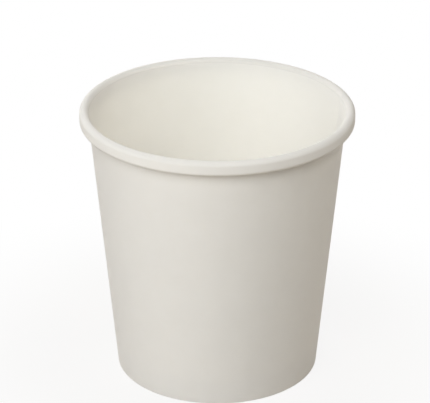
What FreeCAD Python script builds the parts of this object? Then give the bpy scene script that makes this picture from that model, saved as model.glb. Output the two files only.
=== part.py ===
import FreeCAD, Part

import math
import os

# Paper soup container of about 480 ml: a lapped side wall, rolled at the rim and hemmed at the foot,
# round a pressed base disc. Millimetres, +Z up. The origin is on the container's axis, on the plane
# that it stands on. Each board is drawn as a section in the X-Z plane and turned about the Z axis.

# Overall sizes
RIM_DIAMETER = 98.0  # across the outside of the rolled rim
HEIGHT = 100.0  # from the standing face to the top of the rim
BASE_DIAMETER = 73.2  # across the outside of the wall, at the standing face
FLOOR_HEIGHT = 10.8  # from the standing face to the top face of the base disc

# Board
WALL_BOARD = 0.40  # thickness of the side wall's board
BASE_BOARD = 0.34  # thickness of the base disc's board

# Rolled rim
CURL_HEIGHT = 5.3  # from the top of the roll to its underside
TOP_BEND = 1.7  # outer radius of the bend over the top of the roll
TUCK_TURN = 250.0  # degrees that the roll's lower bend turns, which hides its cut edge inside
TUCK_SLIP = 0.15  # gap left between the roll and the wall where the wall is double

# Side seam
SEAM_ANGLE = 10.0  # degrees from +X to the middle of the lap
LAP_WIDTH = 8.0  # width of the lap, measured at the rim
LAP_RAMP = 1.8  # length, at the rim, over which the outer ply comes down off the inner one
SEAM_SQUEEZE = 0.12  # how much thinner the sealed lap is than two boards

# Hem and base disc
FOLD_RADIUS = 0.05  # inside radius of the two bends at the foot of the wall
SEAL_GAP = 0.02  # film left between two boards that are sealed together
SKIRT_CLEARANCE = 0.2  # gap between the skirt's cut edge and the fold, where the fold is double
BASE_CORNER = 1.6  # outer radius of the bend between the base disc and its skirt
HEM_BELOW_CORNER = 1.5  # distance from that bend down to the hem's cut edge

# Board stacks
lap_board = 2 * WALL_BOARD - SEAM_SQUEEZE
ply_step = lap_board - WALL_BOARD
hem_pack = BASE_BOARD + 2 * SEAL_GAP

# Heights
roll_foot = HEIGHT - CURL_HEIGHT
hem_top = FLOOR_HEIGHT - BASE_CORNER - HEM_BELOW_CORNER
skirt_foot = lap_board + SKIRT_CLEARANCE

# The wall's outer face leaves the foot at base_radius and runs into the inside of the top bend.
rim_radius = RIM_DIAMETER / 2
base_radius = BASE_DIAMETER / 2
top_centre = (rim_radius - TOP_BEND, HEIGHT - TOP_BEND)
reach = math.hypot(top_centre[0] - base_radius, top_centre[1])
taper = math.acos((TOP_BEND - WALL_BOARD) / reach) - math.atan2(top_centre[1], top_centre[0] - base_radius)
lean = math.degrees(taper)
slope = math.tan(taper)
across = 1 / math.cos(taper)  # horizontal distance through one unit of board

# Angles of the seam about the axis
lap_turn = math.degrees(LAP_WIDTH / rim_radius)
lap_start = SEAM_ANGLE - lap_turn / 2
lap_end = SEAM_ANGLE + lap_turn / 2
ramp_end = lap_end + math.degrees(LAP_RAMP / rim_radius)


def wall_face_at(depth, z):
    """Radius of the wall at a height, on the face that lies depth outside its food side."""
    return base_radius - (WALL_BOARD - depth) * across + z * slope


def hem_face_at(depth, z):
    """Radius of the hem at a height, on the face that lies depth inside the one that grips the skirt."""
    return wall_face_at(0, z) - (hem_pack + depth) * across


def skirt_face_at(depth, z):
    """Radius of the base disc's skirt at a height, on the face that lies depth inside its outer face."""
    return wall_face_at(0, z) - (SEAL_GAP + depth) * across


def lower_bend():
    """Centre and outer radius of the roll's lower bend, which clears the wall's second ply by the slip."""
    room = rim_radius - wall_face_at(lap_board, roll_foot) - TUCK_SLIP * across
    radius = room / (1 + slope + across)
    return (rim_radius - radius, roll_foot + radius), radius


def point(x, z):
    return FreeCAD.Vector(x, 0, z)


def line(start, end):
    return Part.LineSegment(point(*start), point(*end)).toShape()


def on_circle(centre, radius, degrees):
    angle = math.radians(degrees)
    return (centre[0] + radius * math.cos(angle), centre[1] + radius * math.sin(angle))


def arc(centre, radius, start, end):
    """The arc between two directions, in degrees, through the direction midway between them."""
    ends = [point(*on_circle(centre, radius, degrees)) for degrees in (start, (start + end) / 2, end)]
    return Part.Arc(*ends).toShape()


def sheet_face(depth, foot):
    """One face of the wall's board, from the cut edge in the roll to the cut edge of the hem.

    depth is the distance from the food side of the board, and foot the lowest height of the face.
    """
    low_centre, low_bend = lower_bend()
    fold = FOLD_RADIUS + depth
    fold_height = foot + fold
    outer_fold = (wall_face_at(depth, fold_height) - fold * across, fold_height)
    inner_fold = (hem_face_at(depth, fold_height) + fold * across, fold_height)
    curl_end = on_circle(low_centre, low_bend - depth, -TUCK_TURN)
    hem_end = (hem_face_at(depth, hem_top), hem_top)
    edges = [
        arc(low_centre, low_bend - depth, -TUCK_TURN, 0),
        line(on_circle(low_centre, low_bend - depth, 0), on_circle(top_centre, TOP_BEND - depth, 0)),
        arc(top_centre, TOP_BEND - depth, 0, 180 - lean),
        line(on_circle(top_centre, TOP_BEND - depth, 180 - lean), on_circle(outer_fold, fold, -lean)),
        arc(outer_fold, fold, -lean, -90),
        line(on_circle(outer_fold, fold, -90), on_circle(inner_fold, fold, -90)),
        arc(inner_fold, fold, -90, -180 - lean),
        line(on_circle(inner_fold, fold, -180 - lean), hem_end),
    ]
    return edges, curl_end, hem_end


def sheet_section(inner_depth, outer_depth):
    """Closed outline of the board between two of its faces, standing on the ground plane."""
    inner, inner_curl_end, inner_hem_end = sheet_face(inner_depth, outer_depth - inner_depth)
    outer, outer_curl_end, outer_hem_end = sheet_face(outer_depth, 0)
    curl_edge = line(outer_curl_end, inner_curl_end)
    hem_edge = line(inner_hem_end, outer_hem_end)
    return Part.Wire(inner + [hem_edge] + outer[::-1] + [curl_edge])


def tray_face(depth):
    """One face of the base disc's board, from its middle over the bend to the skirt's cut edge."""
    bend = BASE_CORNER - depth
    bend_height = FLOOR_HEIGHT - BASE_CORNER
    bend_centre = (skirt_face_at(depth, bend_height) - bend * across, bend_height)
    middle = (0, FLOOR_HEIGHT - depth)
    skirt_end = (skirt_face_at(depth, skirt_foot), skirt_foot)
    edges = [
        line(middle, on_circle(bend_centre, bend, 90)),
        arc(bend_centre, bend, 90, -lean),
        line(on_circle(bend_centre, bend, -lean), skirt_end),
    ]
    return edges, middle, skirt_end


def turned(wire, degrees):
    copy = wire.copy()
    copy.rotate(FreeCAD.Vector(0, 0, 0), FreeCAD.Vector(0, 0, 1), degrees)
    return copy


def swept(wire, start, end):
    """The section swept about the axis from one direction to another, in degrees."""
    face = Part.Face(turned(wire, start))
    return face.revolve(FreeCAD.Vector(0, 0, 0), FreeCAD.Vector(0, 0, 1), end - start)


def make_side_wall():
    """One board, wrapped round to a sealed lap, rolled outwards at the top and hemmed at the foot."""
    single = sheet_section(0, WALL_BOARD)
    double = sheet_section(0, lap_board)
    outer_ply = sheet_section(ply_step, lap_board)
    round_wall = swept(single, ramp_end, lap_start + 360)
    lap = swept(double, lap_start, lap_end)
    ramp = Part.makeLoft([turned(outer_ply, lap_end), turned(single, ramp_end)], True, True)
    return round_wall.fuse([lap, ramp]).removeSplitter()


def make_base_disc():
    """One board, pressed to an upturned shallow tray, whose skirt is held in the wall's hem."""
    top, top_middle, top_end = tray_face(0)
    under, under_middle, under_end = tray_face(BASE_BOARD)
    skirt_edge = line(top_end, under_end)
    axis_edge = line(under_middle, top_middle)
    return swept(Part.Wire(top + [skirt_edge] + under[::-1] + [axis_edge]), 0, 360)


def main():
    os.makedirs("parts", exist_ok=True)
    parts = {"side_wall": make_side_wall(), "base_disc": make_base_disc()}
    for name, shape in parts.items():
        shape.exportStep(os.path.join("parts", name + ".step"))
        print(name, "solids", len(shape.Solids), "valid", shape.isValid(), "volume", round(shape.Volume, 1))
    print("taper", round(lean, 3), "top bend", top_centre, "lower bend", lower_bend())


main()
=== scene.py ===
import math

import bpy
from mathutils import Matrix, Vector


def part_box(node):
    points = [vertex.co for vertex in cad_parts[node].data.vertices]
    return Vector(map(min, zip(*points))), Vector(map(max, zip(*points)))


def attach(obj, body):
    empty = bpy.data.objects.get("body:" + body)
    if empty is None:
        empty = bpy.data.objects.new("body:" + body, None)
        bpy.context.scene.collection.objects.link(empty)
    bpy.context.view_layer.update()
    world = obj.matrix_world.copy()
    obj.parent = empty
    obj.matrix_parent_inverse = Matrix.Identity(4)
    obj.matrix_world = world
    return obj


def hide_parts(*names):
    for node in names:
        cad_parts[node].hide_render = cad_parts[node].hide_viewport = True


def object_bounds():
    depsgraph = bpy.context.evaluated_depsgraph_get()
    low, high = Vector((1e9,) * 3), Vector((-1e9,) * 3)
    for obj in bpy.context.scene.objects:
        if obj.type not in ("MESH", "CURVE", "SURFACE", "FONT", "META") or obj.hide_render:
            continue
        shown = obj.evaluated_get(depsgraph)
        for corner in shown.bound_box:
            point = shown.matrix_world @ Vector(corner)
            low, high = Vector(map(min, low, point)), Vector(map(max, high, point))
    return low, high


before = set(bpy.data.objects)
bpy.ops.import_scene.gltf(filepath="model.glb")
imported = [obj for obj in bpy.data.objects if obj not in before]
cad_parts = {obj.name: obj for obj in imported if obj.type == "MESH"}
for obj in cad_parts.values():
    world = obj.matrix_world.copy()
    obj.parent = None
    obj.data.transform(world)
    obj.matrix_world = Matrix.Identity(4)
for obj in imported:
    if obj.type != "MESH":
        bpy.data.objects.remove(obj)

cadLow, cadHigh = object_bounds()
wallLow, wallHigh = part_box("side_wall")
discLow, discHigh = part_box("base_disc")
print("frame loaded:", sorted(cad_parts))

# the wall is one sheet: lapped at the side, rolled outwards at the rim, hemmed inwards at the foot
wallBoard = {
    "thickness": 0.00040,
    "footDiameter": 0.0732,  # across the outside of the wall, at the ground
    "curlHeight": 0.0053,  # top of the roll to its underside
    "topBend": 0.0017,  # outer radius of the bend over the roll
    "tuckTurn": 250,  # degrees that the lower bend turns, cut edge inside
    "tuckSlip": 0.00015,  # gap between the roll and the doubled wall
    "foldRadius": 0.00005,  # inside radius of the two bends at the foot
    "hemTop": 0.0077,  # height of the hem's cut edge
    "seamAngle": 10,  # degrees from +X to the middle of the lap
    "lapWidth": 0.008,
    "lapBoard": 0.00068,  # both plies, pressed together
    "lapRamp": 0.0018,  # length over which the outer ply comes down off the inner one
    "pressedBand": 0.0009,  # length over which the inner ply is pressed down beside the lap
    "plyGap": 0.00001,
}

# steps along the wall's section, from the roll to the hem, and once round it
sheetSteps = {"lowBend": 30, "band": 4, "topBend": 28, "wall": 30, "footFold": 7, "hem": 4}
turnSteps = {"lap": 12, "ramp": 8, "single": 336, "pressed": 6}

# the base is one pressed sheet, its skirt held between the wall and the hem
baseBoard = {
    "thickness": 0.00034,
    "sealGap": 0.00002,
    "corner": 0.0016,  # outer radius of the bend between disc and skirt
    "dish": 0.00012,  # how far the disc sags at its middle
}
traySteps = {"disc": 26, "corner": 14, "skirt": 7, "turn": 240}

# slow unevenness that the wrapping leaves, always inwards, so that the rim keeps its size
unevenness = {
    "rim": 0.00009,
    "middle": 0.00007,
    "rimHeight": 0.00006,
    "rimStart": 0.55,  # share of the height above which the rim's own waves take over
    "heightStart": 0.9,  # share of the height above which the top edge goes up and down
    "middleShift": 2.4,  # turns the middle's and the top edge's waves away from the rim's
    "heightShift": 4.1,
    "waves": ((2, 0.6, 0.50), (3, 2.1, 0.28), (5, 4.0, 0.14), (8, 1.3, 0.08)),  # count, phase, share
}

foodKind, outerKind, cutKind, rollKind = range(4)  # which material a face of a board wears
grainShift = 0.05  # keeps the grain of a board's two faces from being the same

rimRadius = min(wallHigh.x, wallHigh.y, -wallLow.x, -wallLow.y)
height = wallHigh.z
footRadius = wallBoard["footDiameter"] / 2
thickness = wallBoard["thickness"]
plyStep = wallBoard["lapBoard"] - thickness
hemPack = baseBoard["thickness"] + 2 * baseBoard["sealGap"]
topBend = wallBoard["topBend"]
topCentre = (rimRadius - topBend, height - topBend)

# the wall leaves the foot at footRadius and runs into the inside of the top bend
reach = math.hypot(topCentre[0] - footRadius, topCentre[1])
taper = math.acos((topBend - thickness) / reach) - math.atan2(topCentre[1], topCentre[0] - footRadius)
lean = math.degrees(taper)
slope = math.tan(taper)
across = 1 / math.cos(taper)  # level distance through one unit of board

lapTurn = math.degrees(wallBoard["lapWidth"] / rimRadius)
lapStart = wallBoard["seamAngle"] - lapTurn / 2
lapEnd = wallBoard["seamAngle"] + lapTurn / 2
rampEnd = lapEnd + math.degrees(wallBoard["lapRamp"] / rimRadius)
pressStart = lapStart - math.degrees(wallBoard["pressedBand"] / rimRadius)


def wallFace(depth, z):  # radius of the wall, depth outside its food side
    return footRadius - (thickness - depth) * across + z * slope


def hemFace(depth, z):  # radius of the hem, depth inside the face that grips the skirt
    return wallFace(0, z) - (hemPack + depth) * across


def skirtFace(depth, z):  # radius of the base's skirt, depth inside its outer face
    return wallFace(0, z) - (baseBoard["sealGap"] + depth) * across


def onCircle(centre, radius, degrees):
    angle = math.radians(degrees)
    return (centre[0] + radius * math.cos(angle), centre[1] + radius * math.sin(angle))


def bend(centre, radius, start, end, steps):
    return [onCircle(centre, radius, start + (end - start) * i / steps) for i in range(steps + 1)]


def straight(start, end, steps):  # the points strictly between two ends
    shares = [i / steps for i in range(1, steps)]
    return [tuple(a + (b - a) * share for a, b in zip(start, end)) for share in shares]


def smoothShare(value):
    value = min(max(value, 0), 1)
    return value * value * (3 - 2 * value)


def shareAbove(value, start):  # 0 up to start, then smoothly to 1 at 1
    return smoothShare((value - start) / (1 - start))


def mix(a, b, share):
    return a + (b - a) * share


rollFoot = height - wallBoard["curlHeight"]
rollRoom = rimRadius - wallFace(wallBoard["lapBoard"], rollFoot) - wallBoard["tuckSlip"] * across
lowBend = rollRoom / (1 + slope + across)
lowCentre = (rimRadius - lowBend, rollFoot + lowBend)


def sheetFace(depth, foot):  # one face of the wall's sheet, from the roll's cut edge to the hem's
    fold = wallBoard["foldRadius"] + depth
    foldHeight = foot + fold
    outerFold = (wallFace(depth, foldHeight) - fold * across, foldHeight)
    innerFold = (hemFace(depth, foldHeight) + fold * across, foldHeight)
    roll = bend(lowCentre, lowBend - depth, -wallBoard["tuckTurn"], 0, sheetSteps["lowBend"])
    top = bend(topCentre, topBend - depth, 0, 180 - lean, sheetSteps["topBend"])
    outside = bend(outerFold, fold, -lean, -90, sheetSteps["footFold"])
    inside = bend(innerFold, fold, -90, -180 - lean, sheetSteps["footFold"])
    hemEnd = (hemFace(depth, wallBoard["hemTop"]), wallBoard["hemTop"])
    path = roll + straight(roll[-1], top[0], sheetSteps["band"]) + top
    path += straight(top[-1], outside[0], sheetSteps["wall"]) + outside
    return path + inside + straight(inside[-1], hemEnd, sheetSteps["hem"]) + [hemEnd]


def trayFace(depth):  # one face of the base, from near its middle over the bend to the skirt's cut edge
    corner = baseBoard["corner"] - depth
    bendHeight = discHigh.z - baseBoard["corner"]
    centre = (skirtFace(depth, bendHeight) - corner * across, bendHeight)
    turn = bend(centre, corner, 90, -lean, traySteps["corner"])
    skirtEnd = (skirtFace(depth, discLow.z), discLow.z)
    middle = (0, discHigh.z - depth)
    disc = straight(middle, turn[0], traySteps["disc"])
    return disc + turn + straight(turn[-1], skirtEnd, traySteps["skirt"]) + [skirtEnd]


def wave(degrees, shift):  # 0 to 1, slowly round the container
    turn = math.radians(degrees)
    waves = unevenness["waves"]
    return 0.5 + 0.5 * sum(share * math.sin(count * turn + phase + shift) for count, phase, share in waves)


def uneven(radius, z, degrees):
    up = z / height
    rimShare = shareAbove(up, unevenness["rimStart"])
    middleShare = 4 * up * (1 - up) * (1 - rimShare)
    inwards = unevenness["rim"] * rimShare * wave(degrees, 0)
    inwards += unevenness["middle"] * middleShare * wave(degrees, unevenness["middleShift"])
    down = unevenness["rimHeight"] * shareAbove(up, unevenness["heightStart"])
    down *= wave(degrees, unevenness["heightShift"])
    return (radius - inwards * radius / rimRadius, z - down)


def inSpace(point, degrees):
    turn = math.radians(degrees)
    radius, z = uneven(point[0], point[1], degrees)
    return (radius * math.cos(turn), radius * math.sin(turn), z)


def alongPath(path):  # distance along a path to each of its points
    distances = [0]
    for a, b in zip(path, path[1:]):
        distances.append(distances[-1] + math.dist(a, b))
    return distances


def sheetColumns():  # direction, depth of both faces and stack height, once round and over the lap
    columns = []

    def add(start, end, steps, first, last):
        for i in range(steps):
            share = i / steps
            board = [mix(a, b, smoothShare(share)) for a, b in zip(first, last)]
            columns.append((mix(start, end, share), *board))

    outerPly = (plyStep, wallBoard["lapBoard"], wallBoard["lapBoard"])
    single = (0, thickness, thickness)
    innerPly = (0, plyStep - wallBoard["plyGap"], wallBoard["lapBoard"])
    add(lapStart, lapEnd, turnSteps["lap"], outerPly, outerPly)
    add(lapEnd, rampEnd, turnSteps["ramp"], outerPly, single)
    add(rampEnd, pressStart + 360, turnSteps["single"], single, single)
    add(pressStart + 360, lapStart + 360, turnSteps["pressed"], single, innerPly)
    add(lapStart + 360, lapEnd + 360, turnSteps["lap"], innerPly, innerPly)
    columns.append((lapEnd + 360, *innerPly))
    return columns


def newPiece(name, points, faces, kinds, places, flat, materials):
    mesh = bpy.data.meshes.new(name)
    mesh.from_pydata(points, [], faces)
    for material in materials:
        mesh.materials.append(material)
    mesh.polygons.foreach_set("material_index", kinds)
    mesh.polygons.foreach_set("use_smooth", [True] * len(faces))
    blank = mesh.attributes.new("blank", "FLOAT_VECTOR", "POINT")  # where each point lies on the flat sheet
    blank.data.foreach_set("vector", [value for place in places for value in place])
    bakeMap = mesh.uv_layers.new(name="OFBake")
    bakeMap.uv.foreach_set("vector", [value for corner in flat for value in corner])
    mesh.validate()
    mesh.update()
    piece = bpy.data.objects.new(name, mesh)
    bpy.context.scene.collection.objects.link(piece)
    return piece


def sharpenCuts(piece):  # hard edges only where a cut edge meets a face of the board
    mesh = piece.data
    kindsAt = {}
    for face in mesh.polygons:
        for key in face.edge_keys:
            kindsAt.setdefault(key, []).append(face.material_index)
    for edge in mesh.edges:
        kinds = kindsAt[edge.key]
        edge.use_edge_sharp = len(set(kinds)) > 1 and cutKind in kinds


# where the wall's faces and cut edges lie on the bake map
wallMap = {
    "faceHeight": 0.484,
    "outerFace": 0.49,
    "cutHeight": 0.004,
    "rollCut": 0.978,
    "hemCut": 0.984,
    "outerPlyCut": 0.990,
    "innerPlyCut": 0.995,
}


def makeSideWall(materials):
    columns = sheetColumns()
    path = alongPath(sheetFace(thickness / 2, thickness / 2))
    rows = len(path)
    apex = (footRadius - thickness * across) / math.sin(taper)  # the flat sheet is a sector of a ring
    ringSlope = math.sin(taper)
    points, places = [], []
    for side in range(2):
        for degrees, innerDepth, outerDepth, stack in columns:
            depth = (innerDepth, outerDepth)[side]
            sector = math.radians(degrees) * ringSlope
            for point, distance in zip(sheetFace(depth, stack - depth), path):
                points.append(inSpace(point, degrees))
                out = apex + path[-1] - distance
                places.append((out * math.sin(sector), out * math.cos(sector) - apex, grainShift * side))
    turns = len(columns)
    outerStart = turns * rows
    rollSteps = sheetSteps["lowBend"] + sheetSteps["band"] + sheetSteps["topBend"]
    cutHeight = wallMap["cutHeight"]
    faces, kinds, flat = [], [], []

    def addFace(corners, kind, marks):
        faces.append(corners)
        kinds.append(kind)
        flat.extend(marks)

    def strip(u0, u1, v0, v1):
        return [(u0, v0), (u1, v0), (u1, v1), (u0, v1)]

    for i in range(turns - 1):
        u0, u1 = i / (turns - 1), (i + 1) / (turns - 1)
        for j in range(rows - 1):
            a, b = i * rows + j, (i + 1) * rows + j
            v0, v1 = [wallMap["faceHeight"] * distance / path[-1] for distance in path[j:j + 2]]
            addFace((a, b, b + 1, a + 1), rollKind if j < rollSteps else foodKind, strip(u0, u1, v0, v1))
            c, d = a + outerStart, b + outerStart
            marks = strip(u0, u1, v0 + wallMap["outerFace"], v1 + wallMap["outerFace"])
            addFace((d, c, c + 1, d + 1), outerKind, [marks[1], marks[0], marks[3], marks[2]])
        for row, low in ((0, wallMap["rollCut"]), (rows - 1, wallMap["hemCut"])):
            a, b = i * rows + row, (i + 1) * rows + row
            corners = (a, a + outerStart, b + outerStart, b)
            marks = [(u0, low), (u0, low + cutHeight), (u1, low + cutHeight), (u1, low)]
            if row:
                corners, marks = corners[::-1], marks[::-1]
            addFace(corners, cutKind, marks)
    for column, low in ((0, wallMap["outerPlyCut"]), (turns - 1, wallMap["innerPlyCut"])):
        for j in range(rows - 1):
            a = column * rows + j
            u0, u1 = path[j] / path[-1], path[j + 1] / path[-1]
            corners = (a, a + 1, a + 1 + outerStart, a + outerStart)
            marks = strip(u0, u1, low, low + cutHeight)
            if column:
                corners, marks = corners[::-1], marks[::-1]
            addFace(corners, cutKind, marks)
    piece = newPiece("wall_sheet", points, faces, kinds, places, flat, materials)
    sharpenCuts(piece)
    return piece


# where the base's two round faces and its cut edge lie on the bake map
trayMap = {"half": 0.25, "faceRadius": 0.245, "cutLow": 0.60, "cutHigh": 0.605}


def makeBaseTray(materials):
    board = baseBoard["thickness"]
    turns = traySteps["turn"]
    path = alongPath([(0, discHigh.z - board / 2)] + trayFace(board / 2))[1:]
    rows = len(path)
    points, places = [], []
    for side in range(2):
        face = trayFace(side * board)
        discEdge = face[traySteps["disc"]][0]  # just past the start of the corner
        for i in range(turns):
            degrees = 360 * i / turns
            turn = math.radians(degrees)
            for (radius, z), distance in zip(face, path):
                x, y, up = inSpace((radius, z), degrees)
                sag = baseBoard["dish"] * (1 - smoothShare(radius / discEdge))
                points.append((x, y, up - sag))
                places.append((distance * math.cos(turn), distance * math.sin(turn), grainShift * side))
    lowerStart = turns * rows
    middles = []
    for side in range(2):
        middles.append(len(points))
        points.append((0, 0, discHigh.z - side * board - baseBoard["dish"]))
        places.append((0, 0, grainShift * side))
    half = trayMap["half"]
    size = trayMap["faceRadius"] / path[-1]
    faces, kinds, flat = [], [], []

    def addFace(corners, kind, marks):
        faces.append(corners)
        kinds.append(kind)
        flat.extend(marks)

    def roundMarks(corners, side):  # the two round faces lie side by side on the map
        spots = [places[corner] for corner in corners]
        return [(half + 2 * half * side + x * size, half + y * size) for x, y, _ in spots]

    for i in range(turns):
        following = (i + 1) % turns
        for side, kind in enumerate((foodKind, outerKind)):
            first = side * lowerStart
            a, b = first + i * rows, first + following * rows
            corners = (middles[side], b, a) if side else (middles[side], a, b)
            addFace(corners, kind, roundMarks(corners, side))
            for j in range(rows - 1):
                corners = (a + j, a + j + 1, b + j + 1, b + j)
                if side:
                    corners = corners[::-1]
                addFace(corners, kind, roundMarks(corners, side))
    low, high = trayMap["cutLow"], trayMap["cutHigh"]
    for i in range(turns):
        a, b = i * rows + rows - 1, ((i + 1) % turns) * rows + rows - 1
        u0, u1 = i / turns, (i + 1) / turns
        marks = [(u0, low), (u0, high), (u1, high), (u1, low)]
        addFace((a, a + lowerStart, b + lowerStart, b), cutKind, marks)
    piece = newPiece("base_tray", points, faces, kinds, places, flat, materials)
    sharpenCuts(piece)
    return piece


# fibres, cloudiness and specks of paper board, shared by every board material
grainForm = {
    "cloudDetail": 3,
    "cloudRange": (0.3, 0.7),
    "slants": (0, 34, -41),  # degrees; fibres lie along the sheet, with some at a slant
    "layerScale": 100,  # keeps the fibres of a board's two faces apart
    "fibreDetail": 2,
    "fibreRange": (0.45, 0.75),
    "toothScale": 0.6,
    "toothDetail": 2,
    "speckScale": 110,
    "speckCore": 0.012,
    "speckEdge": 0.030,
    "fibreHeight": 0.55,  # shares of fibres and tooth in the relief
    "toothHeight": 0.45,
}


def makeBoardGrain():
    group = bpy.data.node_groups.new("boardGrain", "ShaderNodeTree")
    for name, kind in (("Place", "NodeSocketVector"), ("Fibre Length", "NodeSocketFloat"),
                       ("Fibre Width", "NodeSocketFloat"), ("Cloud Size", "NodeSocketFloat"),
                       ("Speck Share", "NodeSocketFloat")):
        group.interface.new_socket(name=name, in_out="INPUT", socket_type=kind)
    for name in ("Cloud", "Fibre", "Speck", "Height"):
        group.interface.new_socket(name=name, in_out="OUTPUT", socket_type="NodeSocketFloat")
    nodes, links = group.nodes, group.links
    given = nodes.new("NodeGroupInput")
    result = nodes.new("NodeGroupOutput")

    def reckon(operation, first, second):
        node = nodes.new("ShaderNodeMath")
        node.operation = operation
        for socket, value in zip(node.inputs, (first, second)):
            if isinstance(value, (int, float)):
                socket.default_value = value
            else:
                links.new(value, socket)
        return node.outputs["Value"]

    def ranged(value, low, high):
        node = nodes.new("ShaderNodeMapRange")
        links.new(value, node.inputs["Value"])
        node.inputs["From Min"].default_value = low
        node.inputs["From Max"].default_value = high
        return node.outputs["Result"]

    def noiseAt(place, scale, detail):
        node = nodes.new("ShaderNodeTexNoise")
        links.new(place, node.inputs["Vector"])
        node.inputs["Detail"].default_value = detail
        if isinstance(scale, (int, float)):
            node.inputs["Scale"].default_value = scale
        else:
            links.new(scale, node.inputs["Scale"])
        return node.outputs["Fac"]

    cloudScale = reckon("DIVIDE", 1, given.outputs["Cloud Size"])
    clouds = noiseAt(given.outputs["Place"], cloudScale, grainForm["cloudDetail"])
    cloud = ranged(clouds, *grainForm["cloudRange"])

    stretch = nodes.new("ShaderNodeCombineXYZ")
    links.new(reckon("DIVIDE", 1, given.outputs["Fibre Length"]), stretch.inputs["X"])
    links.new(reckon("DIVIDE", 1, given.outputs["Fibre Width"]), stretch.inputs["Y"])
    stretch.inputs["Z"].default_value = grainForm["layerScale"]
    layers = []
    for slant in grainForm["slants"]:
        turned = nodes.new("ShaderNodeVectorRotate")
        turned.rotation_type = "Z_AXIS"
        turned.inputs["Angle"].default_value = math.radians(slant)
        links.new(given.outputs["Place"], turned.inputs["Vector"])
        scaled = nodes.new("ShaderNodeVectorMath")
        scaled.operation = "MULTIPLY"
        links.new(turned.outputs["Vector"], scaled.inputs[0])
        links.new(stretch.outputs["Vector"], scaled.inputs[1])
        layers.append(noiseAt(scaled.outputs["Vector"], 1, grainForm["fibreDetail"]))
    strongest = reckon("MAXIMUM", reckon("MAXIMUM", layers[0], layers[1]), layers[2])
    fibre = ranged(strongest, *grainForm["fibreRange"])

    toothScale = reckon("DIVIDE", grainForm["toothScale"], given.outputs["Fibre Width"])
    tooth = noiseAt(given.outputs["Place"], toothScale, grainForm["toothDetail"])

    spots = nodes.new("ShaderNodeTexVoronoi")
    spots.inputs["Scale"].default_value = grainForm["speckScale"]
    links.new(given.outputs["Place"], spots.inputs["Vector"])
    pick = nodes.new("ShaderNodeSeparateColor")
    links.new(spots.outputs["Color"], pick.inputs["Color"])
    chosen = reckon("LESS_THAN", pick.outputs["Red"], given.outputs["Speck Share"])
    near = nodes.new("ShaderNodeMapRange")
    links.new(spots.outputs["Distance"], near.inputs["Value"])
    near.inputs["From Min"].default_value = grainForm["speckCore"]
    near.inputs["From Max"].default_value = grainForm["speckEdge"]
    near.inputs["To Min"].default_value = 1
    near.inputs["To Max"].default_value = 0
    speck = reckon("MULTIPLY", chosen, near.outputs["Result"])

    fibreRelief = reckon("MULTIPLY", fibre, grainForm["fibreHeight"])
    toothRelief = reckon("MULTIPLY", tooth, grainForm["toothHeight"])
    relief = reckon("ADD", fibreRelief, toothRelief)
    for name, value in (("Cloud", cloud), ("Fibre", fibre), ("Speck", speck), ("Height", relief)):
        links.new(value, result.inputs[name])
    return group


boardGrain = makeBoardGrain()


def makeBoardMaterial(name, look):
    material = bpy.data.materials.new(name)
    material.use_nodes = True
    nodes, links = material.node_tree.nodes, material.node_tree.links
    shader = nodes["Principled BSDF"]
    place = nodes.new("ShaderNodeAttribute")
    place.attribute_name = "blank"
    grain = nodes.new("ShaderNodeGroup")
    grain.node_tree = boardGrain
    links.new(place.outputs["Vector"], grain.inputs["Place"])
    for socket, key in (("Fibre Length", "fibreLength"), ("Fibre Width", "fibreWidth"),
                        ("Cloud Size", "cloudSize"), ("Speck Share", "speckShare")):
        grain.inputs[socket].default_value = look[key]

    def blended(share, first, second, amount=1):
        node = nodes.new("ShaderNodeMix")
        node.data_type = "RGBA"
        if amount == 1:
            links.new(share, node.inputs["Factor"])
        else:
            scaled = nodes.new("ShaderNodeMath")
            scaled.operation = "MULTIPLY"
            links.new(share, scaled.inputs[0])
            scaled.inputs[1].default_value = amount
            links.new(scaled.outputs["Value"], node.inputs["Factor"])
        for socket, colour in ((node.inputs["A"], first), (node.inputs["B"], second)):
            if isinstance(colour, tuple):
                socket.default_value = (*colour, 1)
            else:
                links.new(colour, socket)
        return node.outputs["Result"]

    cloudy = blended(grain.outputs["Cloud"], look["deep"], look["pale"])
    fibrous = blended(grain.outputs["Fibre"], cloudy, look["fibre"], look["fibreShare"])
    specked = blended(grain.outputs["Speck"], fibrous, look["speck"], look["speckStrength"])
    links.new(specked, shader.inputs["Base Color"])

    rough = nodes.new("ShaderNodeMapRange")
    links.new(grain.outputs["Cloud"], rough.inputs["Value"])
    rough.inputs["To Min"].default_value = look["roughness"][0]
    rough.inputs["To Max"].default_value = look["roughness"][1]
    links.new(rough.outputs["Result"], shader.inputs["Roughness"])

    bump = nodes.new("ShaderNodeBump")
    bump.inputs["Strength"].default_value = look["bumpStrength"]
    bump.inputs["Distance"].default_value = look["bumpDepth"]
    links.new(grain.outputs["Height"], bump.inputs["Height"])
    links.new(bump.outputs["Normal"], shader.inputs["Normal"])
    shader.inputs["Specular IOR Level"].default_value = look["specular"]
    shader.inputs["Sheen Weight"].default_value = look["sheen"]
    shader.inputs["Sheen Roughness"].default_value = look["sheenRoughness"]
    shader.inputs["Subsurface Weight"].default_value = look["throughShare"]
    shader.inputs["Subsurface Radius"].default_value = (1.0, 1.0, 1.0)
    shader.inputs["Subsurface Scale"].default_value = look["throughDepth"]
    return material


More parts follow.
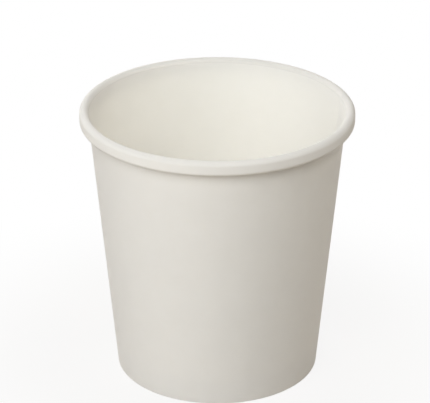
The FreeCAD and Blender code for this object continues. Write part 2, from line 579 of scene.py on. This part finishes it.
# outside of the wall: bare bleached board, matte
outsideLook = {
    "pale": (0.830, 0.816, 0.780), "deep": (0.820, 0.805, 0.768), "fibre": (0.850, 0.838, 0.804),
    "fibreShare": 0.35, "speck": (0.55, 0.48, 0.38), "speckShare": 0.03, "speckStrength": 0.6,
    "fibreLength": 0.0016, "fibreWidth": 0.00014, "cloudSize": 0.006,
    "roughness": (0.66, 0.74), "specular": 0.22, "sheen": 0.02, "sheenRoughness": 0.5,
    "bumpStrength": 0.6, "bumpDepth": 0.000012,
    "throughShare": 0.7, "throughDepth": 0.0004,  # light that passes into the thin board, and how deep
}
# food side: sealed with a thin clear film, a little smoother and warmer; its colour is painted light, far
# paler than the outside so that the inside renders brighter
foodSideLook = dict(outsideLook, pale=(0.955, 0.922, 0.866), deep=(0.945, 0.913, 0.857),
                    fibre=(0.965, 0.931, 0.875), fibreShare=0.2, speckShare=0.02,
                    roughness=(0.52, 0.60), specular=0.2, sheen=0.0, bumpStrength=0.4)
# the roll is the food side turned outwards; its duller finish is a guess, and its darker colour is painted
# shade that makes the rim render darker than the food side
shadedRollLook = dict(foodSideLook, pale=(0.878, 0.855, 0.806), deep=(0.869, 0.846, 0.798),
                fibre=(0.887, 0.864, 0.814), roughness=(0.74, 0.80), specular=0.05)
# cut edges: bare fibres, rougher and a touch darker
cutEdgeLook = dict(outsideLook, pale=(0.80, 0.775, 0.72), deep=(0.74, 0.71, 0.65), fibreShare=0.5,
                   fibreLength=0.0004, cloudSize=0.0008, roughness=(0.85, 0.92),
                   bumpStrength=0.9, bumpDepth=0.00003)
# underside of the base, bare like the outside
underLook = dict(outsideLook, pale=(0.806, 0.785, 0.739), deep=(0.782, 0.758, 0.708), cloudSize=0.004)

# paler than the outside: painted light on the inside and on the base's top
foodSide = makeBoardMaterial("foodSide", foodSideLook)
# a darker copy of the food side: painted shade on the roll
shadedRollFace = makeBoardMaterial("shadedRollFace", shadedRollLook)
outside = makeBoardMaterial("outside", outsideLook)
cutEdge = makeBoardMaterial("cutEdge", cutEdgeLook)
baseUnder = makeBoardMaterial("baseUnder", underLook)
print("board materials made")

sideWall = makeSideWall((foodSide, outside, cutEdge, shadedRollFace))
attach(sideWall, "root")
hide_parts("side_wall")
print("wall sheet made:", len(sideWall.data.polygons), "faces")

baseTray = makeBaseTray((foodSide, baseUnder, cutEdge))
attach(baseTray, "root")
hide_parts("base_disc")
print("base tray made:", len(baseTray.data.polygons), "faces")

studio = {
    "floorSize": 8.0,
    "floorGap": 0.00002,  # how far the floor lies below the foot
    "floorRoughness": 0.9,
    "floorSpecular": 0.1,
    "floorColour": (0.60, 0.55, 0.49),
    "floorShow": 0.88,  # how far the floor turns to plain white for the eye, close to the container
    "fadeStart": 0.05,  # distance from the axis at which the floor starts to turn all white
    "fadeEnd": 0.14,
    "skyColour": (1.0, 0.95, 0.88),
    "skyStrength": 0.03,
    "lampDistance": 1.2,
    "lampSize": 0.7,
}
# turn in degrees from the front, minus to the left; rise in degrees above level
lamps = {
    "keyLight": {"turn": -17, "rise": 42, "power": 9.1, "colour": (0.965, 0.985, 1.0)},
    "leftLight": {"turn": -52, "rise": 22, "power": 3.7, "colour": (0.97, 0.985, 1.0)},
    "backLeftLight": {"turn": -152, "rise": 21, "power": 7.7, "colour": (1.0, 0.97, 0.93)},
    "rightLight": {"turn": 100, "rise": 38, "power": 4.5, "colour": (1.0, 0.955, 0.89)},
}


def seenWhite(nodes, links):  # 1 for the eye, and for what mirrors or clear bodies show it
    path = nodes.new("ShaderNodeLightPath")
    seen = path.outputs["Is Camera Ray"]
    for name in ("Is Glossy Ray", "Is Transmission Ray"):
        either = nodes.new("ShaderNodeMath")
        either.operation = "MAXIMUM"
        links.new(seen, either.inputs[0])
        links.new(path.outputs[name], either.inputs[1])
        seen = either.outputs["Value"]
    return seen


def makeFloor():
    half = studio["floorSize"] / 2
    corners = [(-half, -half, 0), (half, -half, 0), (half, half, 0), (-half, half, 0)]
    mesh = bpy.data.meshes.new("floor")
    mesh.from_pydata(corners, [], [(0, 1, 2, 3)])
    floor = bpy.data.objects.new("floor", mesh)
    bpy.context.scene.collection.objects.link(floor)
    floor.location.z = cadLow.z - studio["floorGap"]
    material = bpy.data.materials.new("paleFloor")
    material.use_nodes = True
    nodes, links = material.node_tree.nodes, material.node_tree.links
    shader = nodes["Principled BSDF"]
    shader.inputs["Base Color"].default_value = (*studio["floorColour"], 1)
    shader.inputs["Roughness"].default_value = studio["floorRoughness"]
    shader.inputs["Specular IOR Level"].default_value = studio["floorSpecular"]
    white = nodes.new("ShaderNodeEmission")
    white.inputs["Strength"].default_value = 1
    place = nodes.new("ShaderNodeTexCoord")
    distance = nodes.new("ShaderNodeVectorMath")
    distance.operation = "LENGTH"
    links.new(place.outputs["Object"], distance.inputs[0])
    fade = nodes.new("ShaderNodeMapRange")
    fade.interpolation_type = "SMOOTHSTEP"
    links.new(distance.outputs["Value"], fade.inputs["Value"])
    fade.inputs["From Min"].default_value = studio["fadeStart"]
    fade.inputs["From Max"].default_value = studio["fadeEnd"]
    fade.inputs["To Min"].default_value = studio["floorShow"]
    fade.inputs["To Max"].default_value = 1
    seen = nodes.new("ShaderNodeMath")
    seen.operation = "MULTIPLY"
    links.new(seenWhite(nodes, links), seen.inputs[0])
    links.new(fade.outputs["Result"], seen.inputs[1])
    mixed = nodes.new("ShaderNodeMixShader")
    links.new(seen.outputs["Value"], mixed.inputs["Fac"])
    links.new(shader.outputs["BSDF"], mixed.inputs[1])
    links.new(white.outputs["Emission"], mixed.inputs[2])
    links.new(mixed.outputs["Shader"], nodes["Material Output"].inputs["Surface"])
    mesh.materials.append(material)


def makeWorld():
    world = bpy.data.worlds.new("studioWorld")
    bpy.context.scene.world = world
    world.use_nodes = True
    nodes, links = world.node_tree.nodes, world.node_tree.links
    sky = nodes["Background"]
    sky.inputs["Color"].default_value = (*studio["skyColour"], 1)
    sky.inputs["Strength"].default_value = studio["skyStrength"]
    white = nodes.new("ShaderNodeBackground")
    white.inputs["Color"].default_value = (1, 1, 1, 1)
    mixed = nodes.new("ShaderNodeMixShader")
    links.new(seenWhite(nodes, links), mixed.inputs["Fac"])
    links.new(sky.outputs["Background"], mixed.inputs[1])
    links.new(white.outputs["Background"], mixed.inputs[2])
    links.new(mixed.outputs["Shader"], nodes["World Output"].inputs["Surface"])


def lookFrom(middle, turn, rise, distance):  # a place round a middle, and the turn that faces it
    turn, rise = math.radians(turn), math.radians(rise)
    level = distance * math.cos(rise)
    place = middle + Vector((level * math.sin(turn), -level * math.cos(turn), distance * math.sin(rise)))
    return place, (middle - place).to_track_quat("-Z", "Y").to_euler()


def makeLamp(name, turn, rise, power, colour):
    lamp = bpy.data.lights.new(name, "AREA")
    lamp.size = studio["lampSize"]
    lamp.energy = power
    lamp.color = colour
    holder = bpy.data.objects.new(name, lamp)
    bpy.context.scene.collection.objects.link(holder)
    middle = Vector((0, 0, height / 2))
    holder.location, holder.rotation_euler = lookFrom(middle, turn, rise, studio["lampDistance"])


makeFloor()
makeWorld()
for name, lamp in lamps.items():
    makeLamp(name, **lamp)
print("floor, world and lamps set")

view = {
    "distance": 0.882,
    "turn": 0,
    "rise": 25.1,  # degrees above level
    "lens": 204.6,  # in millimetres, like the sensor's width
    "sensorWidth": 36,
    "nearest": 0.05,
    "aimAcross": -0.0008,  # the point that it looks at
    "aimHeight": 0.0629,
}
camera = bpy.data.objects.new("camera", bpy.data.cameras.new("camera"))
bpy.context.scene.collection.objects.link(camera)
camera.data.sensor_width = view["sensorWidth"]
camera.data.lens = view["lens"]
camera.data.clip_start = view["nearest"]
aim = Vector((view["aimAcross"], 0, view["aimHeight"]))
camera.location, camera.rotation_euler = lookFrom(aim, view["turn"], view["rise"], view["distance"])
bpy.context.scene.camera = camera
bpy.context.scene.view_settings.view_transform = "Standard"
print("camera set")
